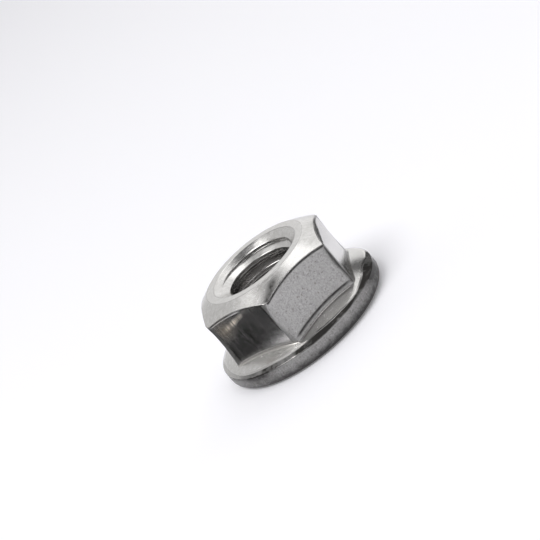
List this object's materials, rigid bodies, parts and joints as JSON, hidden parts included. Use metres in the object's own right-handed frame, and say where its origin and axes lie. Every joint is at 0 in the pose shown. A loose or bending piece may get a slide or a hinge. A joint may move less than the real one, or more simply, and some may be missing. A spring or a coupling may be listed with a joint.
{
  "type": "hex flange nut",
  "caption": "Stainless hex nut formed in one piece with a round cone-topped flange, a chamfered top and a countersunk threaded bore; clamps a bolted joint without a separate washer.",
  "frame": {"origin": "centre of the bearing face under the flange, on the thread's axis", "axes": "+Z along the thread from the bearing face to the top face; +X square to one pair of flats; +Y through a pair of corners"},
  "size_m": [0.017, 0.017, 0.008],
  "materials": {
    "stainless": "bare cold-formed stainless steel, satin with drag marks and mottled patches"
  },
  "bodies": {
    "root": {"flange_nut": "stainless"}
  },
  "joints": []
}
